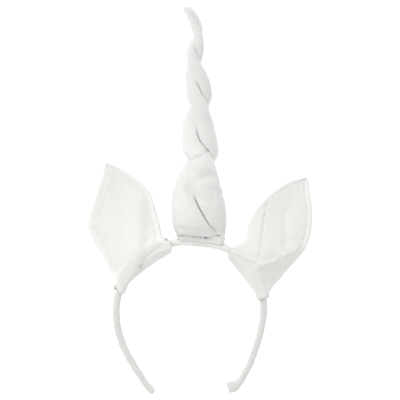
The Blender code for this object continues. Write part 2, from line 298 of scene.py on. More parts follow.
def make_hoop(material):
    """The hoop from its right end round the top to its left end."""
    first, last = HOOP[0].angle, HOOP[-1].angle
    steps = round((last - first) / HOOP_STEP)
    rings = [hoop_ring(first + (last - first) * k / steps, 1.0) for k in range(steps + 1)]
    for k in range(1, HOOP_END_STEPS + 1):
        share = k / HOOP_END_STEPS
        scale = max(math.sqrt(1 - share * share), HOOP_TIP_SCALE)
        rings.insert(0, hoop_ring(first - HOOP_END_TURN * share, scale))
        rings.append(hoop_ring(last + HOOP_END_TURN * share, scale))
    points = [point for ring in rings for point in ring]
    # Painted shade, growing along the legs
    leg_painted_shades = [LEG_PAINTED_SHADE * ease(LEG_PAINTED_SHADE_FROM, LEG_PAINTED_SHADE_FULL, point.y) for point in points]
    return loft("hoop_cover", [rings], material, leg_painted_shades)


hoop_cloth = cloth_material(
    "hoop_cloth", HOOP_TINT, roughness=0.72, thread=0.5, weave_depth=0.15,
    rib_pitch=RIB_PITCH, rib_depth=0.5, sheen=0.15)
hoop = make_hoop(hoop_cloth)
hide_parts("headband")

# The stuffed horn.
# One cone of satiny cloth filled with wadding, wound so that two lobes twist round it to a curled tip.
# Two knots pull the cloth in beside its grooves. Its tip is darkened a little with painted shade, and a hem
# closes its base.
HORN_TINT = (0.735, 0.73, 0.72)
HORN_LOBE_COLUMNS = 64
HORN_ROW_STEPS = 12
HORN_SEAT_GAP = 0.4
# The rings that close the horn's base, as shares of its size
HORN_CAP_SCALES = (0.04, 0.2, 0.4, 0.6, 0.8, 0.93)
LOBE_CROWDED = 0.8
LOBE_EVEN = 0.2
FULL_LOBE = 0.18
GROOVE_DEPTH = 0.13
GROOVE_LIP = math.radians(7.0)
GROOVE_SLOPE = math.radians(24.0)
SOFT_LIP = math.radians(18.0)
SOFT_SHALLOWER = 0.35
TUCK_DEPTH = 0.17
TUCK_LIP = math.radians(1.1)
TUCK_SLOPE = math.radians(2.2)
TUCK_LOBE = 0.06
# Depth in a tight fold where painted shade starts, and the least painted shade of a pucker that counts
TUCK_SHADE_FROM = 0.4
LEAST_SHADE = 0.02
# Where a groove starts and stops being soft, on the left, and tight, on the right: half turns from the front
SOFT_STARTS = (-0.47, -0.38)
SOFT_STOPS = (-0.14, -0.03)
TIGHT_STARTS = (-0.09, -0.02)
TIGHT_STOPS = (0.42, 0.50)
# Painted shade towards the tip: how much, and the Y where it starts and where it is full
TIP_PAINTED_SHADE = 0.07
TIP_PAINTED_SHADE_FROM = 30.0
TIP_PAINTED_SHADE_FULL = 110.0
# The axis, from the base to the tip: place, radius, height of the lobes, half turns, and depth over width
Section = namedtuple("Section", "x y height radius lobes turn depth")
HORN = (
    Section(0.8, -35.6, 21.0, 21.4, 0.00, 0.28, 0.41),
    Section(0.9, -32.5, 21.0, 22.2, 0.03, 0.25, 0.53),
    Section(0.3, -24.0, 20.6, 23.0, 0.08, 0.14, 0.85),
    Section(-1.0, -11.5, 20.0, 22.6, 0.12, 0.04, 0.97),
    Section(-2.2, 2.0, 19.4, 20.6, 0.17, -0.06, 1.00),
    Section(-1.8, 14.5, 18.6, 19.0, 0.18, -0.17, 1.00),
    Section(-0.2, 28.0, 17.8, 17.2, 0.18, -0.34, 1.00),
    Section(0.9, 36.0, 17.2, 15.8, 0.18, -0.52, 1.00),
    Section(1.0, 44.0, 16.2, 14.9, 0.18, -0.80, 1.00),
    Section(-0.6, 55.0, 14.9, 13.8, 0.18, -1.00, 1.00),
    Section(-1.6, 72.0, 12.8, 12.2, 0.18, -1.14, 1.00),
    Section(-0.8, 86.0, 11.8, 10.9, 0.18, -1.50, 1.00),
    Section(-0.6, 95.5, 10.8, 10.5, 0.18, -1.84, 1.00),
    Section(-1.4, 105.0, 9.9, 9.9, 0.18, -2.00, 1.00),
    Section(-4.0, 117.0, 8.9, 8.8, 0.18, -2.20, 1.00),
    Section(-5.6, 126.0, 8.4, 7.8, 0.18, -2.50, 1.00),
    Section(-4.4, 137.0, 7.2, 6.7, 0.18, -2.95, 1.00),
    Section(-2.4, 146.0, 6.4, 5.9, 0.18, -3.22, 1.00),
    Section(-1.6, 152.5, 6.0, 5.2, 0.17, -3.50, 1.00),
    Section(-3.2, 161.0, 5.6, 4.9, 0.15, -3.78, 1.00),
    Section(-6.0, 168.5, 5.2, 4.6, 0.12, -3.92, 1.00),
    Section(-9.0, 173.6, 4.8, 4.2, 0.08, -4.02, 1.00),
    Section(-12.4, 176.6, 4.4, 3.3, 0.04, -4.10, 1.00),
    Section(-15.0, 178.0, 4.2, 1.6, 0.00, -4.14, 1.00),
)
# Dents and swells on the front, in plan, with half lengths, half widths and leans in degrees
Dent = namedtuple("Dent", "x y length width lean rise")
HORN_DENTS = (
    Dent(1.5, 31.0, 9.0, 4.5, -10.0, 1.4),
    Dent(6.5, 20.5, 9.0, 3.8, 14.0, -2.4),
    Dent(-8.0, 9.0, 9.5, 5.0, 118.0, -4.2),
    Dent(-14.0, -27.0, 7.0, 2.4, -12.0, -1.9),
    Dent(12.0, 4.0, 9.0, 2.6, 98.0, -1.2),
    Dent(-1.0, 39.2, 7.5, 1.4, 28.0, -2.0),
    Dent(2.0, -27.5, 8.0, 2.2, -4.0, -0.4),
    Dent(-9.0, -8.0, 5.0, 2.2, 60.0, -0.9),
    Dent(6.0, 71.0, 5.0, 2.2, -30.0, -0.8),
    Dent(-6.0, 44.0, 5.0, 2.0, 30.0, -0.7),
)
# Where a knot pulls the cloth in, and the painted shade in the pucker
Pucker = namedtuple("Pucker", "x y width depth shade")
HORN_PUCKERS = (
    Pucker(6.5, 45.2, 1.5, 1.2, 0.8),
    Pucker(-4.2, 2.6, 1.3, 0.9, 0.25),
)
DENT_REACH = 9.0
AXIS_REACH = 0.05
PLEATS = 21
PLEAT_RISE = 0.03
PLEAT_FADE = 5.0
PLEAT_DRIFT = 4
DRIFT_ROUND = 2.1
DRIFT_ALONG = 0.05
PULL_SWELL = 0.035
PULL_ROUND = 1.2
PULL_ALONG = 2.2
PULL_SLANT = 2.0
PULL_LOBES_APART = 7.0
PULL_SEED = 3.1
CRUMPLE_SWELL = 0.018
CRUMPLE_SCALE = 0.16
BASE_FLATNESS = 0.45
BASE_FADE = 6.0
# How far a point faces forward, from where its ring turns to the front to where it is all front
HEM_FRONT = (0.15, 0.62)
SHADE_FRONT = (0.3, 0.6)
DENT_FRONT = (0.0, 0.5)
# The turned-in hem across the base's front, as it lies in a gap of its seam: share of the way from the
# hoop to the horn, lift, and painted shade
Hem = namedtuple("Hem", "share lift shade")
HEM = (
    Hem(0.0, 0.0, 0.0),
    Hem(-0.03, 0.45, 0.0),
    Hem(0.10, 0.85, 0.0),
    Hem(0.40, 1.25, 0.0),
    Hem(0.70, 1.5, 0.0),
    Hem(0.84, 1.2, 0.05),
    Hem(0.92, 0.50, 0.4),
    Hem(0.95, -0.30, 0.6),
    Hem(1.10, -0.30, 0.6),
    Hem(1.16, 0.10, 0.2),
)
# Where the hem's seam gapes: X, half length, and how far it is open
SEAM_GAPS = (
    (-15.0, 1.2, 0.4),
    (-10.6, 1.6, 0.25),
    (-4.8, 1.6, 0.6),
    (0.4, 1.4, 0.5),
    (6.1, 2.2, 1.1),
    (18.6, 3.0, 1.3),
)
HEM_OUT = 1.3
HEM_UP = 4.6
HEM_CLOSED = 3.0
HEM_CLOSES = (0.5, 1.0)
HEM_RIPPLE = 0.25
HEM_RIPPLE_SCALE = 0.5
HEM_RIPPLE_SEED = 9.0
GAP_POWER = 4
SEAM_Y = -34.3
SEAM_STEP = 3.2
SEAM_STEPS_UP = (9.0, 15.0)
SEAM_SETBACK = 0.6
SEAM_FADE = 4.0
SEAT_TOP = 3.6


def dent_rise(dents, point):
    """The sum of the dents at a point in plan."""
    total = 0.0
    for dent in dents:
        lean = math.radians(dent.lean)
        east, north = point.x - dent.x, point.y - dent.y
        along = (east * math.cos(lean) + north * math.sin(lean)) / dent.length
        across = (north * math.cos(lean) - east * math.sin(lean)) / dent.width
        reach = along * along + across * across
        if reach < DENT_REACH:
            total += dent.rise * math.exp(-reach)
    return total


def pulled_in(puckers, point):
    """How deep the puckers pull the cloth at a point in plan, and their painted shade there."""
    depth = shade = 0.0
    for pucker in puckers:
        apart = (point.x - pucker.x) ** 2 + (point.y - pucker.y) ** 2
        reach = math.exp(-(apart / pucker.width**2))
        depth += reach * pucker.depth
        shade += reach * pucker.shade
    return depth, shade


def horn_radius(turn, angle, radius, lobes):
    """Radius of the horn's section of two lobes, and how deep a point is pulled into the tight fold of a
    groove, which also sets the painted shade there.
    """
    around = (angle - turn * math.pi) % math.pi
    past = math.pi - around
    lobe = 1 - lobes * math.cos(2 * around)
    facing = (turn + 0.5) % 1.0 - 0.5
    soft = ease(*SOFT_STARTS, facing) * (1 - ease(*SOFT_STOPS, facing))
    tight = ease(*TIGHT_STARTS, facing) * (1 - ease(*TIGHT_STOPS, facing))
    if around > math.pi / 2:
        groove = math.exp(-past / (GROOVE_LIP + SOFT_LIP * soft))
        tuck_and_painted_shade = math.exp(-past / TUCK_LIP)
    else:
        groove = math.exp(-around / GROOVE_SLOPE)
        tuck_and_painted_shade = math.exp(-around / TUCK_SLOPE)
    tuck_and_painted_shade *= tight * min(lobes / TUCK_LOBE, 1.0)
    shallow = (1 - SOFT_SHALLOWER * soft) * min(lobes / FULL_LOBE, 1.0)
    deep = GROOVE_DEPTH * groove * shallow + TUCK_DEPTH * tuck_and_painted_shade
    return radius * (lobe - deep), tuck_and_painted_shade


def horn_angles():
    """Angles round one lobe, closer together at the groove."""
    angles = []
    for k in range(HORN_LOBE_COLUMNS):
        share = k / HORN_LOBE_COLUMNS
        crowded = math.pi * (0.5 - 0.5 * math.cos(math.pi * share))
        angles.append(crowded * LOBE_CROWDED + math.pi * share * LOBE_EVEN)
    return angles


def base_angle(x):
    """The hoop's angle at an X on the horn's base."""
    outside = hoop_value("radius", 0.0) + HOOP_HALF_THICK
    return -math.degrees(math.asin((x - HOOP_CENTRE.x) / outside))


def seam_y(x):
    """Where the horn's front meets its hem, in plan."""
    return SEAM_Y + SEAM_STEP * ease(*SEAM_STEPS_UP, x)


def seam_gap(x):
    """How far the seam gapes at an X: 0 where it is closed."""
    return max(width * math.exp(-(((x - middle) / half) ** GAP_POWER)) for middle, half, width in SEAM_GAPS)


def horn_ring(place):
    """A section of the horn, square to its axis: its points, how far each faces forward, and how deep each
    lies in a tight fold or pucker, which sets its painted shade.
    """
    axis, ahead, behind = [
        Vector([smooth(HORN, column, spot) for column in ("x", "y", "height")])
        for spot in (place, place + AXIS_REACH, place - AXIS_REACH)
    ]
    along = (ahead - behind).normalized()
    side = along.cross(Vector((0, 0, 1))).normalized()
    front = side.cross(along)
    columns = ("radius", "lobes", "turn", "depth")
    radius, lobes, turn, depth = [smooth(HORN, column, place) for column in columns]
    from_base = axis.y - HORN[0].y
    gather = PLEAT_RISE * math.exp(-from_base / PLEAT_FADE)
    flatness = 1 - BASE_FLATNESS * math.exp(-from_base / BASE_FADE)
    points, facings, painted_shades = [], [], []
    for half in range(2):
        for step in horn_angles():
            angle = step + (turn + half) * math.pi
            facing = math.cos(angle)
            reach, tuck_and_painted_shade = horn_radius(turn, angle, radius, lobes)
            sideways = math.sin(angle) * DRIFT_ROUND
            drift = noise.noise(Vector((sideways, facing * DRIFT_ROUND, axis.y * DRIFT_ALONG)))
            reach *= 1 + gather * math.sin(PLEATS * angle + PLEAT_DRIFT * drift)
            pull_x = step * PULL_ROUND + half * PULL_LOBES_APART
            pull_y = place * PULL_ALONG + step * PULL_SLANT
            pull = noise.noise(Vector((pull_x, pull_y, PULL_SEED)))
            spot = Vector((side.x * reach * math.sin(angle), axis.y, reach * facing))
            crumple = noise.noise(spot * CRUMPLE_SCALE)
            reach += (PULL_SWELL * pull + CRUMPLE_SWELL * crumple) * radius
            forward = math.copysign(abs(facing) ** flatness, facing)
            point = axis + side * (reach * math.sin(angle)) + front * (reach * forward * depth)
            if facing > 0:
                depth_in, shade = pulled_in(HORN_PUCKERS, point)
                point += front * ((dent_rise(HORN_DENTS, point) - depth_in) * ease(*DENT_FRONT, facing))
                # A pucker's painted shade counts as depth in a tight fold
                if shade > LEAST_SHADE:
                    tuck_and_painted_shade = max(tuck_and_painted_shade, TUCK_SHADE_FROM + (1 - TUCK_SHADE_FROM) * shade)
            shift = (seam_y(point.x) + SEAM_SETBACK - HORN[0].y) * math.exp(-from_base / SEAM_FADE)
            point.y += shift * ease(*HEM_FRONT, facing)
            point.z = max(point.z, 0.0)
            points.append(point)
            facings.append(facing)
            painted_shades.append(tuck_and_painted_shade)
    return points, facings, painted_shades


def horn_seat(point):
    """A point of the horn's base, moved along Y onto the hoop's outer face."""
    seat = hoop_point(base_angle(point.x), HOOP_HALF_THICK + HORN_SEAT_GAP, SEAT_TOP)
    return Vector((point.x, seat.y, min(point.z, seat.z)))


def hem_ring(base, seat, facings, number):
    """One line of the hem: over the hoop's outer edge in front, and up the horn's sides and back."""
    share, lift, _ = HEM[number]
    ring = []
    for point, low, facing in zip(base, seat, facings):
        edge = hoop_point(base_angle(point.x), HEM_OUT, HEM_UP)
        ripple = HEM_RIPPLE * noise.noise(Vector((point.x * HEM_RIPPLE_SCALE, share, HEM_RIPPLE_SEED)))
        closed = (1 - seam_gap(point.x)) * ease(*HEM_CLOSES, share)
        rise = (lift + (HEM_CLOSED - lift) * closed) * (1 + ripple)
        hem_y = edge.y + (seam_y(point.x) - edge.y) * share + ripple
        side = low.lerp(point, (number + 1) / (len(HEM) + 1))
        ring.append(side.lerp(Vector((point.x, hem_y, edge.z + rise)), ease(*HEM_FRONT, facing)))
    return ring


def make_horn(material):
    """The horn from its base, on the hoop's outer face, over its hem and up to the curled tip."""
    steps = (len(HORN) - 1) * HORN_ROW_STEPS
    body = [horn_ring(k / HORN_ROW_STEPS) for k in range(steps + 1)]
    base, facings, _ = body[0]
    middle = sum(base, Vector()) / len(base)
    scales = (*HORN_CAP_SCALES, 1.0)
    seats = [[horn_seat(middle + (point - middle) * scale) for point in base] for scale in scales]
    hems = [hem_ring(base, seats[-1], facings, number) for number in range(len(HEM))]
    painted_shades = [0.0] * (len(seats) * len(base))
    # Painted shade in the gaps of the hem's seam, on the horn's front
    for row in HEM:
        for point, facing in zip(base, facings):
            painted_shades.append(row.shade * seam_gap(point.x) * ease(*SHADE_FRONT, facing))
    # Painted shade deep in the tight folds of the grooves
    for points, _, depths in body:
        for point, depth in zip(points, depths):
            # Painted shade, growing towards the tip
            tip_painted_shade = TIP_PAINTED_SHADE * ease(TIP_PAINTED_SHADE_FROM, TIP_PAINTED_SHADE_FULL, point.y)
            painted_shades.append(max(ease(TUCK_SHADE_FROM, 1.0, depth), tip_painted_shade))
    rings = seats + hems + [points for points, _, _ in body]
    return loft("stuffed_horn", [rings], material, painted_shades)


horn_cloth = cloth_material(
    "horn_cloth", HORN_TINT, roughness=0.5, thread=0.35, weave_depth=0.12,
    rib_pitch=3.1, rib_depth=0.04, sheen=0.3)
horn = make_horn(horn_cloth)
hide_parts("horn")

# The thread.
# White sewing thread whips the hem to the horn's front and makes the two knots beside its grooves.
# Turns of it round the hoop bind the horn on. The knot in the left ear is made with the ear.
THREAD_TINT = (0.93, 0.93, 0.915)
THREAD_RADIUS = 0.24
THREAD_SIDES = 8
THREAD_END = 0.45
THREAD_LEAN = Vector((0.3, 0.2, 1.0))
FAR_ABOVE = Vector((0.0, 0.0, 0.5))
STITCH_STEPS = 8
STITCH_ARCH = 0.25
STITCH_SINK = 0.5
STITCH_SINK_POWER = 6
STITCH_SAG = 0.6
STITCH_SAG_POWER = 4
STITCH_CLEARANCE = 1.6
WHIP_FIRST_X = -17.0
WHIP_STEP = 2.05
WHIP_STITCHES = 18
WHIP_BELOW = 1.0
WHIP_ABOVE = 1.1
WHIP_SLANT = 0.7
# A step from one stitch or turn to the next, and a seed
WHIP_NOISE = (1.3, 4.0)
BINDING_NOISE = (1.7, 0.3)
WHIP_UNEVEN = 0.8
WHIP_UNEVEN_BELOW = 0.5
WHIP_UNEVEN_ABOVE = 0.4
WHIP_UNEVEN_SLANT = 0.5
HORN_TACK_SIZE = 0.7
TACK_LOOPS = 4
TACK_STEPS = 13
TACK_SPREAD = 0.3
TACK_NOISE_STEP = 2.3
TACK_TURN = 0.9
TACK_FLATNESS = 0.65
TACK_LOW = 0.9
TACK_PILE = 0.5
TACK_WAVE = 0.15
BINDING_ANGLES = (-3.0, -3.6, -5.5, -6.1, -8.2, -8.8, -10.8, -11.3, -13.2, -13.8)
BINDING_STEPS = 40
BINDING_UNEVEN = 0.15
BINDING_SLANT = 0.3
BINDING_EASE = 1.02


def tube(points):
    """Rings of a thread along a line of points."""
    rings = []
    last = len(points) - 1
    for k, point in enumerate(points):
        along = (points[min(k + 1, last)] - points[max(k - 1, 0)]).normalized()
        side = along.cross(THREAD_LEAN).normalized()
        over = side.cross(along)
        size = THREAD_RADIUS * (THREAD_END if k in (0, last) else 1.0)
        ring = []
        for i in range(THREAD_SIDES):
            turn = 2 * math.pi * i / THREAD_SIDES
            ring.append(point + side * (size * math.cos(turn)) + over * (size * math.sin(turn)))
        rings.append(ring)
    return rings


def uneven(number, step, seed):
    """A value between -1 and 1 for a stitch or a turn, by its number."""
    return noise.noise(Vector((number * step, seed, 0.0)))


def skin(piece):
    """A search tree of a piece's faces, to lay thread on it."""
    verts = [vert.co for vert in piece.data.vertices]
    return BVHTree.FromPolygons(verts, [face.vertices for face in piece.data.polygons])


def on_top(tree, x, y, lift):
    """A point in millimetres over the upper side of a piece at a place in plan."""
    start = (Vector((x, y, 0.0)) + SHIFT) * METRES + FAR_ABOVE
    hit = tree.ray_cast(start, Vector((0.0, 0.0, -1.0)))[0]
    return Vector((x, y, hit.z / METRES + lift))


def stitch(tree, start, end):
    """A thread from one place in plan to another, laid on a piece with its ends sunk in."""
    points = []
    for k in range(STITCH_STEPS + 1):
        share = k / STITCH_STEPS
        spot = start.lerp(end, share)
        sink = STITCH_SINK * abs(2 * share - 1) ** STITCH_SINK_POWER
        arch = STITCH_ARCH * math.sin(math.pi * share) - sink
        points.append(on_top(tree, spot.x, spot.y, THREAD_RADIUS) + Vector((0.0, 0.0, arch)))
    top = max(points[0].z, points[-1].z)
    for k, point in enumerate(points[1:-1], 1):
        level = top - STITCH_SAG * abs(2 * k / STITCH_STEPS - 1) ** STITCH_SAG_POWER
        point.z = max(point.z, min(level, point.z + STITCH_CLEARANCE))
    return tube(points)


def tack(tree, x, y, size):
    """A small knot: loops of thread over each other on the cloth."""
    loops = []
    for number in range(TACK_LOOPS):
        apart = number * TACK_NOISE_STEP
        stray = Vector((noise.noise(Vector((apart, x, y))), noise.noise(Vector((x, apart, y)))))
        middle = Vector((x, y)) + size * TACK_SPREAD * stray
        lean = TACK_TURN * number
        points = []
        for k in range(TACK_STEPS):
            turn = 2 * math.pi * k / TACK_STEPS
            spot = middle + size * Vector((math.cos(turn + lean), TACK_FLATNESS * math.sin(turn)))
            pile = THREAD_RADIUS * (TACK_LOW + TACK_PILE * number)
            lift = pile + TACK_WAVE * size * math.sin(turn + number)
            points.append(on_top(tree, spot.x, spot.y, lift))
        loops.append(tube(points))
    return loops


def binding_turn(number):
    """One turn of thread round the hoop."""
    start = BINDING_ANGLES[number] + BINDING_UNEVEN * uneven(number, *BINDING_NOISE)
    points = []
    for k in range(BINDING_STEPS + 1):
        turn = 2 * math.pi * k / BINDING_STEPS
        out, up = oval(turn, HOOP_HALF_THICK + THREAD_RADIUS, HOOP_HALF_WIDE + THREAD_RADIUS)
        angle = start + BINDING_SLANT * math.sin(turn + number)
        points.append(hoop_point(angle, out * BINDING_EASE, up * BINDING_EASE))
    return tube(points)


sewing_thread = cloth_material(
    "sewing_thread", THREAD_TINT, roughness=0.45, thread=0.3, weave_depth=0.3,
    rib_pitch=0.6, rib_depth=0.2, sheen=0.1)
horn_skin = skin(horn)
whip_stitches = []
for number in range(WHIP_STITCHES):
    jitter = uneven(number, *WHIP_NOISE)
    spot = WHIP_FIRST_X + WHIP_STEP * number + WHIP_UNEVEN * jitter
    below = Vector((spot, seam_y(spot) - WHIP_BELOW - WHIP_UNEVEN_BELOW * jitter))
    above_x = spot + WHIP_SLANT + WHIP_UNEVEN_SLANT * jitter
    above = Vector((above_x, seam_y(spot) + WHIP_ABOVE + WHIP_UNEVEN_ABOVE * jitter))
    whip_stitches.append(stitch(horn_skin, below, above))
loft("hem_stitches", whip_stitches, sewing_thread)
horn_tacks = [loop for each in HORN_PUCKERS for loop in tack(horn_skin, each.x, each.y, HORN_TACK_SIZE)]
loft("horn_tacks", horn_tacks, sewing_thread)
binding = [binding_turn(number) for number in range(len(BINDING_ANGLES))]
loft("horn_binding", binding, sewing_thread)

# The ears.
# Each is a leaf of doubled white cloth, rolled round the hoop at its foot, with a lining sewn inside its rim.
# The blade stands over the hoop and falls back to the surface. A knot holds the left ear's fold.
EAR_TINT = (0.80, 0.795, 0.78)
LINING_TINT = (0.76, 0.755, 0.74)
EAR_THICK = 1.6
EAR_LEAST_HEIGHT = 0.1
# The rim's roll: its rise, and its crest and half width in columns from the edge
EAR_RIM_RISE = 0.22
RIM_CREST = 2.6
RIM_CREST_HALF = 2.2
# Painted shade on an ear's foot, round the hoop and up the fold
FOOT_PAINTED_SHADE = 0.05
LINING_THICK = 0.8
LINING_EDGE = 0.08
LINING_EDGE_COLUMNS = 3.0
LINING_GAP = 0.04
LINING_TIP = 0.5
RIM = 4.4
RIM_WIDEST = 0.36
EDGE_POWER = 1.8
QUIET_EDGE = 0.12
CREASE_AT_EDGE = 0.35
CREASE_REACH = 3.0
BILLOW = 0.7
WRINKLE = 0.16
# Scales across and along, and a seed
BILLOW_WAVES = (0.07, 0.05, 2.0)
WRINKLE_WAVES = (0.3, 0.22, 5.0)
EAR_COLUMNS = 72
RIM_COLUMNS = 6
SETTLING_ROUNDS = 3
# Shares of the way up the fold over the lining, and from it to the tip
FOLD_SHARES = [k / 20 for k in range(19)] + [0.925, 0.95, 0.97, 0.985, 0.995]
BLADE_STEPS = 96
BLADE_SHARES = [0.0, 0.004] + [k / BLADE_STEPS for k in range(1, BLADE_STEPS + 1)]
FOLD_RISES = (0.0, 0.5)
FOLD_LIP = 0.09
EAR_TACK_SIZE = 1.9
# The pucker under the left ear's knot, with its painted shade
EAR_PUCKER = Pucker(-54.2, -61.6, 2.2, 1.0, 0.13)
WRAP_STEPS = 4
WRAP_LOOSENS = (-3.5, -6.5)
# The cloth round the back of the hoop, from its free edge: out and up from the hoop's centreline where it
# lies close, and the share of the fold's own place that it takes and its height where it is loose
Wrap = namedtuple("Wrap", "out up share loose_up")
WRAP = (
    Wrap(4.8, 1.2, 0.0, 1.2),
    Wrap(5.0, -3.4, 0.0, -3.4),
    Wrap(3.2, -6.2, 0.0, -6.2),
    Wrap(0.0, -6.7, 0.0, -6.7),
    Wrap(-3.8, -5.0, 0.35, -5.6),
    Wrap(-5.3, 0.0, 0.85, -2.8),
    Wrap(-3.9, 4.9, 1.0, -0.4),
    Wrap(0.0, 6.9, 1.0, 2.2),
)
# How high the blade passes over the hoop, and how that height falls away on both sides of it
CREST_HALF = 4.2
CREST_UP = 6.9
CREST_FALL = 1.2
CREST_BLEND = 1.6
# Lines across an ear from its foot to its tip: both ends in plan, three heights, and how far it bows
Row = namedtuple("Row", "left_x left_y right_x right_y left_z mid_z right_z bow")
LEFT_EAR = (
    Row(-73.5, -84.5, -27.0, -48.0, 20.0, 19.0, 22.0, 2.6),
    Row(-76.9, -78.5, -26.0, -43.5, 18.0, 25.0, 24.0, 0.8),
    Row(-80.0, -70.2, -28.2, -39.2, 16.0, 27.0, 22.0, 0.0),
    Row(-83.2, -62.8, -34.4, -35.8, 15.5, 26.0, 22.0, 0.0),
    Row(-88.3, -52.5, -36.7, -29.3, 13.5, 22.0, 20.0, 0.0),
    Row(-94.8, -42.3, -38.1, -22.3, 11.5, 17.0, 17.0, 0.0),
    Row(-100.4, -32.5, -40.0, -15.3, 10.5, 12.5, 14.5, 0.0),
    Row(-102.9, -23.7, -41.9, -8.8, 9.5, 9.0, 12.0, 0.0),
    Row(-100.9, -12.6, -43.4, -2.3, 8.5, 6.5, 10.0, 0.0),
    Row(-97.2, -1.4, -46.5, 5.6, 6.5, 4.8, 8.0, 0.0),
    Row(-93.9, 8.8, -53.0, 14.0, 6.0, 3.6, 6.5, 0.0),
    Row(-91.1, 18.1, -62.3, 21.1, 5.0, 2.8, 5.0, 0.0),
    Row(-89.0, 26.5, -73.9, 28.8, 3.6, 2.2, 3.6, 0.0),
    Row(-87.7, 33.0, -85.6, 34.1, 2.4, 1.8, 2.4, 0.0),
)
RIGHT_EAR = (
    Row(26.5, -53.0, 55.8, -91.1, 22.0, 19.0, 18.0, 0.4),
    Row(28.8, -47.4, 60.9, -88.4, 24.0, 24.0, 16.0, 0.0),
    Row(34.9, -42.3, 66.0, -80.9, 24.0, 27.0, 14.0, 0.0),
    Row(41.4, -38.6, 73.0, -73.0, 22.0, 28.0, 12.5, 0.0),
    Row(44.0, -33.0, 81.4, -62.8, 19.0, 25.0, 11.5, 0.0),
    Row(45.1, -27.0, 90.7, -53.0, 16.5, 19.5, 11.5, 0.0),
    Row(47.0, -20.0, 97.7, -43.2, 14.0, 14.5, 12.5, 0.0),
    Row(50.7, -13.0, 101.4, -33.0, 12.0, 10.5, 10.5, 0.0),
    Row(56.3, -5.1, 103.1, -20.9, 10.0, 7.5, 9.0, 0.0),
    Row(63.7, 2.8, 103.3, -8.8, 8.5, 5.4, 7.5, 0.0),
    Row(73.0, 10.2, 102.0, 1.4, 7.0, 4.0, 6.5, 0.0),
    Row(82.8, 16.0, 101.1, 9.8, 5.4, 3.0, 5.0, 0.0),
    Row(91.6, 19.2, 100.5, 16.0, 3.8, 2.4, 3.6, 0.0),
    Row(98.6, 20.7, 100.3, 19.8, 2.4, 2.0, 2.4, 0.0),
)
# The edge of the fold over the lining: share across the ear, place up it, and rise of the folded cloth
Fold = namedtuple("Fold", "share place rise")
LEFT_FOLD = (
    Fold(0.0, 0.15, 0.0),
    Fold(0.32, 0.15, 0.0),
    Fold(0.40, 0.50, 0.2),
    Fold(0.47, 1.30, 0.3),
    Fold(0.55, 1.70, 0.3),
    Fold(0.65, 2.00, 0.3),
    Fold(0.85, 2.25, 0.25),
    Fold(1.0, 2.4, 0.2),
)
RIGHT_FOLD = (
    Fold(0.0, 1.1, 0.0),
    Fold(0.30, 1.7, 0.0),
    Fold(0.45, 2.2, 0.2),
    Fold(0.55, 2.5, 0.5),
    Fold(0.72, 3.6, 0.6),
    Fold(0.81, 4.5, 0.6),
    Fold(0.93, 5.5, 0.5),
    Fold(1.0, 6.0, 0.3),
)
# Creases and ridges of an ear in plan, each along a line from one point to another
Crease = namedtuple("Crease", "x y to_x to_y width rise")
LEFT_CREASES = (
    Crease(-57.6, -6.0, -57.6, -46.0, 8.4, 3.0),
    Crease(-57.6, -46.0, -55.5, -58.0, 5.0, 1.4),
    Crease(-48.5, -18.0, -47.5, -42.0, 4.0, -0.9),
    Crease(-44.0, -2.0, -39.5, -32.0, 6.0, -2.2),
    Crease(-99.0, -22.8, -88.8, -31.2, 1.6, 0.9),
    Crease(-98.1, -26.5, -92.5, -35.8, 1.5, -1.0),
    Crease(-66.5, -53.5, -56.3, -60.0, 1.7, 1.0),
    Crease(-29.3, -37.7, -46.0, -47.0, 3.0, -1.1),
    Crease(-46.0, -47.0, -53.5, -58.1, 3.0, -1.2),
    Crease(-42.8, -28.0, -41.9, -37.7, 2.0, 0.9),
    Crease(-54.4, -61.8, -58.5, -68.0, 1.6, -0.9),
    Crease(-88.0, 20.0, -60.0, 12.0, 3.0, -0.5),
    Crease(-86.0, 6.0, -92.0, -14.0, 3.2, -0.6),
)
RIGHT_CREASES = (
    Crease(63.7, 4.2, 60.0, -14.4, 1.5, -0.6),
    Crease(60.0, -14.4, 55.1, -52.0, 1.5, -0.8),
    Crease(60.7, 3.0, 57.0, -14.4, 1.9, 0.4),
    Crease(57.0, -14.4, 52.0, -50.0, 1.9, 0.6),
    Crease(79.0, -12.0, 78.6, -42.3, 3.6, -1.3),
    Crease(88.0, -14.0, 87.0, -40.0, 5.0, 0.9),
    Crease(54.4, -60.9, 68.4, -58.1, 2.6, 1.7),
    Crease(68.4, -58.1, 80.4, -52.2, 2.6, 1.3),
    Crease(80.4, -52.2, 95.3, -45.1, 2.6, 1.0),
    Crease(76.0, -51.5, 94.0, -44.0, 6.0, 2.2),
    Crease(30.0, -46.0, 54.4, -60.9, 2.8, 1.0),
    Crease(84.2, -36.2, 95.3, -37.4, 2.4, -1.2),
    Crease(88.0, 8.0, 95.0, -22.0, 3.0, 0.6),
)


def row_ends(rows, place):
    """The two ends of a row in plan."""
    left = Vector((smooth(rows, "left_x", place), smooth(rows, "left_y", place)))
    right = Vector((smooth(rows, "right_x", place), smooth(rows, "right_y", place)))
    return left, right


def crease_rise(creases, plan):
    """The sum of the creases and ridges at a point in plan."""
    total = 0.0
    for crease in creases:
        start = Vector((crease.x, crease.y))
        line = Vector((crease.to_x, crease.to_y)) - start
        share = min(max((plan - start).dot(line) / line.length_squared, 0.0), 1.0)
        away = (plan - start - line * share).length / crease.width
        if away < CREASE_REACH:
            total += crease.rise * math.exp(-away * away)
    return total


def waves(plan, across, along, seed):
    """A smooth uneven height between -1 and 1 at a point in plan."""
    return noise.noise(Vector((plan.x * across, plan.y * along, seed)))


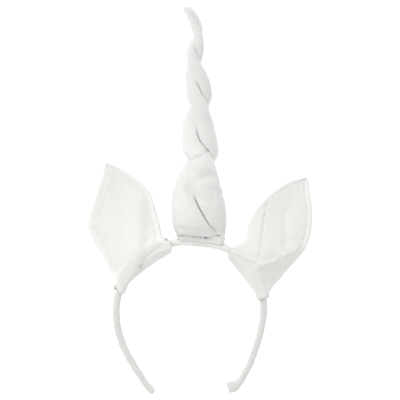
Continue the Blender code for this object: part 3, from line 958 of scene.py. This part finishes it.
def ear_point(rows, creases, place, share):
    """A point of an ear's mid surface, lifted over the hoop where it crosses it."""
    left, right = row_ends(rows, place)
    across = right - left
    away = Vector((-across.y, across.x)).normalized()
    bow = smooth(rows, "bow", place) * 4 * share * (1 - share)
    plan = left + across * share + away * bow
    edge = abs(2 * share - 1) ** EDGE_POWER
    side = "left_z" if share < 0.5 else "right_z"
    height = smooth(rows, "mid_z", place) * (1 - edge) + smooth(rows, side, place) * edge
    inside = min(share, 1 - share, QUIET_EDGE) / QUIET_EDGE
    height += crease_rise(creases, plan) * (CREASE_AT_EDGE + (1 - CREASE_AT_EDGE) * inside)
    height += BILLOW * inside * waves(plan, *BILLOW_WAVES)
    height += WRINKLE * waves(plan, *WRINKLE_WAVES)
    angle, out = hoop_angle(plan)
    crest = hoop_point(angle, out).z + CREST_UP - CREST_FALL * max(abs(out) - CREST_HALF, 0.0)
    apart = height - crest
    lifted = (height + crest + math.sqrt(apart * apart + CREST_BLEND * CREST_BLEND)) / 2
    return Vector((plan.x, plan.y, max(lifted, EAR_THICK / 2 + EAR_LEAST_HEIGHT)))


def wrap_point(rows, share, step):
    """A point of the cloth from the fold inside the hoop round the back of it: step 0 is its free edge."""
    plan = ear_point(rows, (), 0.0, share).xy
    angle, out = hoop_angle(plan)
    slack = ease(*WRAP_LOOSENS, out)
    wrap_out, wrap_up, wrap_share, loose_up = [smooth(WRAP, column, step) for column in Wrap._fields]
    loose_out = wrap_out * (1 - wrap_share) + min(out, wrap_out) * wrap_share
    at_fold = ease(len(WRAP) - 2, len(WRAP) - 1, step)
    loose_out += (out - loose_out) * at_fold
    tight_out = wrap_out + (out - wrap_out) * at_fold
    return hoop_point(
        angle,
        tight_out * (1 - slack) + loose_out * slack,
        wrap_up * (1 - slack) + loose_up * slack,
    )


def ear_shares(rows, place):
    """Shares across a row: close together in the rim, and even inside it."""
    left, right = row_ends(rows, place)
    rim = min(RIM / (right - left).length, RIM_WIDEST)
    edge = [rim * k / RIM_COLUMNS for k in range(RIM_COLUMNS)]
    inner = [rim + (1 - 2 * rim) * k / EAR_COLUMNS for k in range(EAR_COLUMNS + 1)]
    return edge + inner + [1 - share for share in reversed(edge)]


def ear_grid(rows, folds, creases, levels):
    """Points of the ear's mid surface. A level up to 1 is in the fold, and from 1 to 2 it is in the blade."""
    grid = []
    for level in levels:
        line = []
        for column in range(2 * RIM_COLUMNS + EAR_COLUMNS + 1):
            place = 0.0
            for _ in range(SETTLING_ROUNDS):
                share = ear_shares(rows, place)[column]
                split = looked_up(folds, "place", share)
                place = split * level if level < 1 else split + (len(rows) - 1 - split) * (level - 1)
            line.append(ear_point(rows, creases, place, share))
        grid.append(line)
    return grid


def grid_normals(grid):
    """Unit normals of a grid of points."""
    last_row, last_column = len(grid) - 1, len(grid[0]) - 1
    normals = []
    for k, row in enumerate(grid):
        line = []
        for i in range(len(row)):
            across = row[min(i + 1, last_column)] - row[max(i - 1, 0)]
            along = grid[min(k + 1, last_row)][i] - grid[max(k - 1, 0)][i]
            line.append(across.cross(along).normalized())
        normals.append(line)
    return normals


def sheet_rings(grid, normals, above, below):
    """Closed rings round a sheet of cloth, above and below its mid surface, with rounded edges."""
    rings = []
    for k, row in enumerate(grid):
        upper, lower = above[k], below[k]
        edges = []
        for end, inner in ((-1, -2), (0, 1)):
            outward = (row[end] - row[inner]).normalized()
            middle = row[end] + normals[k][end] * ((upper[end] + lower[end]) / 2)
            edges.append(middle + outward * ((upper[end] - lower[end]) / 2))
        over = [point + normal * lift for point, normal, lift in zip(row, normals[k], upper)]
        under = [point + normal * lift for point, normal, lift in zip(row, normals[k], lower)]
        rings.append([*over, edges[0], *reversed(under), edges[1]])
    return rings


def ear_lifts(rows, folds, puckers, grid, levels):
    """How far the ear's upper side lies over its mid surface: more in its rim and fold, less in a pucker."""
    fold_rises = [looked_up(folds, "rise", share) for share in ear_shares(rows, 1.0)]
    lifts = []
    for line, level in zip(grid, levels):
        row = []
        for column, point in enumerate(line):
            from_edge = min(column, len(line) - 1 - column)
            lift = EAR_THICK / 2 + EAR_RIM_RISE * math.exp(-(((from_edge - RIM_CREST) / RIM_CREST_HALF) ** 2))
            if 0 < level < 1:
                from_lip = min((1 - level) / FOLD_LIP, 1.0)
                lift += fold_rises[column] * ease(*FOLD_RISES, level) * math.sqrt(1 - (1 - from_lip) ** 2)
            row.append(lift - pulled_in(puckers, point)[0])
        lifts.append(row)
    return lifts


def make_lining(side, grid, normals, above, material):
    """The panel sewn inside the ear's rim, over the ear's upper side, thin along its edges."""
    inside = slice(RIM_COLUMNS, len(grid[0]) - RIM_COLUMNS)
    under = [[lift + LINING_GAP for lift in row[inside]] for row in above]
    over = []
    for k, row in enumerate(under):
        line = []
        for column, lift in enumerate(row):
            edge = min(column, len(row) - 1 - column, len(under) - 1 - k, k * 2)
            fullness = 1 - math.exp(-edge / LINING_EDGE_COLUMNS)
            line.append(lift + LINING_EDGE + (LINING_THICK - LINING_EDGE) * fullness)
        over.append(line)
    rings = sheet_rings([row[inside] for row in grid], [row[inside] for row in normals], over, under)
    lining = loft(f"ear_{side}_inner", [rings], material)
    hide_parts(f"ear_{side}_lining")
    return lining


def make_ear(side, rows, folds, creases, puckers, cloth, lining_cloth):
    """One ear, from its free edge behind the hoop over its fold to its tip, and its lining."""
    wrap_rows = (len(WRAP) - 1) * WRAP_STEPS
    foot_shares = ear_shares(rows, 0.0)
    wrap = [[wrap_point(rows, share, k / WRAP_STEPS) for share in foot_shares] for k in range(wrap_rows)]
    blade_levels = FOLD_SHARES + [1 + share for share in BLADE_SHARES]
    levels = [0.0] * wrap_rows + blade_levels
    grid = wrap + ear_grid(rows, folds, creases, blade_levels)
    normals = grid_normals(grid)
    above = ear_lifts(rows, folds, puckers, grid, levels)
    below = [[-EAR_THICK / 2] * len(line) for line in grid]
    rings = sheet_rings(grid, normals, above, below)
    # Painted shade on the foot, and in the pucker under the knot
    painted_shades = []
    for ring, level in zip(rings, levels):
        foot = FOOT_PAINTED_SHADE if level < 1 else 0.0
        painted_shades += [foot + pulled_in(puckers, point)[1] for point in ring]
    ear = loft(f"ear_{side}_cloth", [rings], cloth, painted_shades)
    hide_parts(f"ear_{side}")

    lining_rows = slice(
        wrap_rows + len(FOLD_SHARES) + 1, len(grid) - round(LINING_TIP * BLADE_STEPS / (len(rows) - 1)))
    lining = make_lining(side, grid[lining_rows], normals[lining_rows], above[lining_rows], lining_cloth)
    return ear, lining


ear_cloth = cloth_material(
    "ear_cloth", EAR_TINT, roughness=0.68, thread=0.45, weave_depth=0.14,
    rib_pitch=2.3, rib_depth=0.05, sheen=0.2)
lining_cloth = cloth_material(
    "lining_cloth", LINING_TINT, roughness=0.62, thread=0.4, weave_depth=0.12,
    rib_pitch=2.7, rib_depth=0.04, sheen=0.25)
left_ear, left_lining = make_ear(
    "left", LEFT_EAR, LEFT_FOLD, LEFT_CREASES, (EAR_PUCKER,), ear_cloth, lining_cloth)
right_ear, right_lining = make_ear("right", RIGHT_EAR, RIGHT_FOLD, RIGHT_CREASES, (), ear_cloth, lining_cloth)
ear_tack = tack(skin(left_ear), EAR_PUCKER.x, EAR_PUCKER.y, EAR_TACK_SIZE)
loft("ear_tack", ear_tack, sewing_thread)

# The studio.
# A white table and a soft white surround, with one large light high on the left, beyond the horn's tip.
# The camera looks straight down, as far off as the photo's small perspective says.
TABLE_SIZE = 6.0
TABLE_TINT = (0.93, 0.93, 0.93, 1.0)
TABLE_ROUGHNESS = 0.9
TABLE_SPECULAR = 0.1
TABLE_GLOW = 0.35
WHITE = (1.0, 1.0, 1.0, 1.0)
SURROUND_STRENGTH = 0.88
LAMP_POWER = 13.5
LAMP_SIZE = 1.0
LAMP_PLACE = Vector((-0.8, 0.95, 1.45))
CAMERA_HEIGHT = 2.0
CAMERA_REACH = 20.0
VIEW_WIDTH = 0.372
SENSOR_WIDTH = 36.0
table = bpy.data.materials.new("white_table")
table.use_nodes = True
table_surface = table.node_tree.nodes["Principled BSDF"]
table_surface.inputs["Base Color"].default_value = TABLE_TINT
table_surface.inputs["Roughness"].default_value = TABLE_ROUGHNESS
table_surface.inputs["Specular IOR Level"].default_value = TABLE_SPECULAR
table_surface.inputs["Emission Color"].default_value = WHITE
table_surface.inputs["Emission Strength"].default_value = TABLE_GLOW
bpy.ops.mesh.primitive_plane_add(size=TABLE_SIZE, location=(0, 0, 0))
floor = bpy.context.object
floor.name = "table_top"
floor.data.materials.append(table)

world = bpy.data.worlds.new("soft_surround")
world.use_nodes = True
world.node_tree.nodes["Background"].inputs["Color"].default_value = WHITE
world.node_tree.nodes["Background"].inputs["Strength"].default_value = SURROUND_STRENGTH
bpy.context.scene.world = world

lamp_data = bpy.data.lights.new("window_light", "AREA")
lamp_data.energy = LAMP_POWER
lamp_data.size = LAMP_SIZE
lamp = bpy.data.objects.new("window_light", lamp_data)
bpy.context.scene.collection.objects.link(lamp)
lamp.location = LAMP_PLACE
lamp.rotation_euler = (-LAMP_PLACE).to_track_quat("-Z", "Y").to_euler()

camera_data = bpy.data.cameras.new("photo_camera")
camera_data.sensor_width = SENSOR_WIDTH
camera_data.lens = SENSOR_WIDTH * CAMERA_HEIGHT / VIEW_WIDTH
camera_data.clip_end = CAMERA_REACH
camera = bpy.data.objects.new("photo_camera", camera_data)
bpy.context.scene.collection.objects.link(camera)
camera.location = (0.0, 0.0, CAMERA_HEIGHT)
bpy.context.scene.camera = camera
bpy.context.scene.view_settings.view_transform = "Standard"
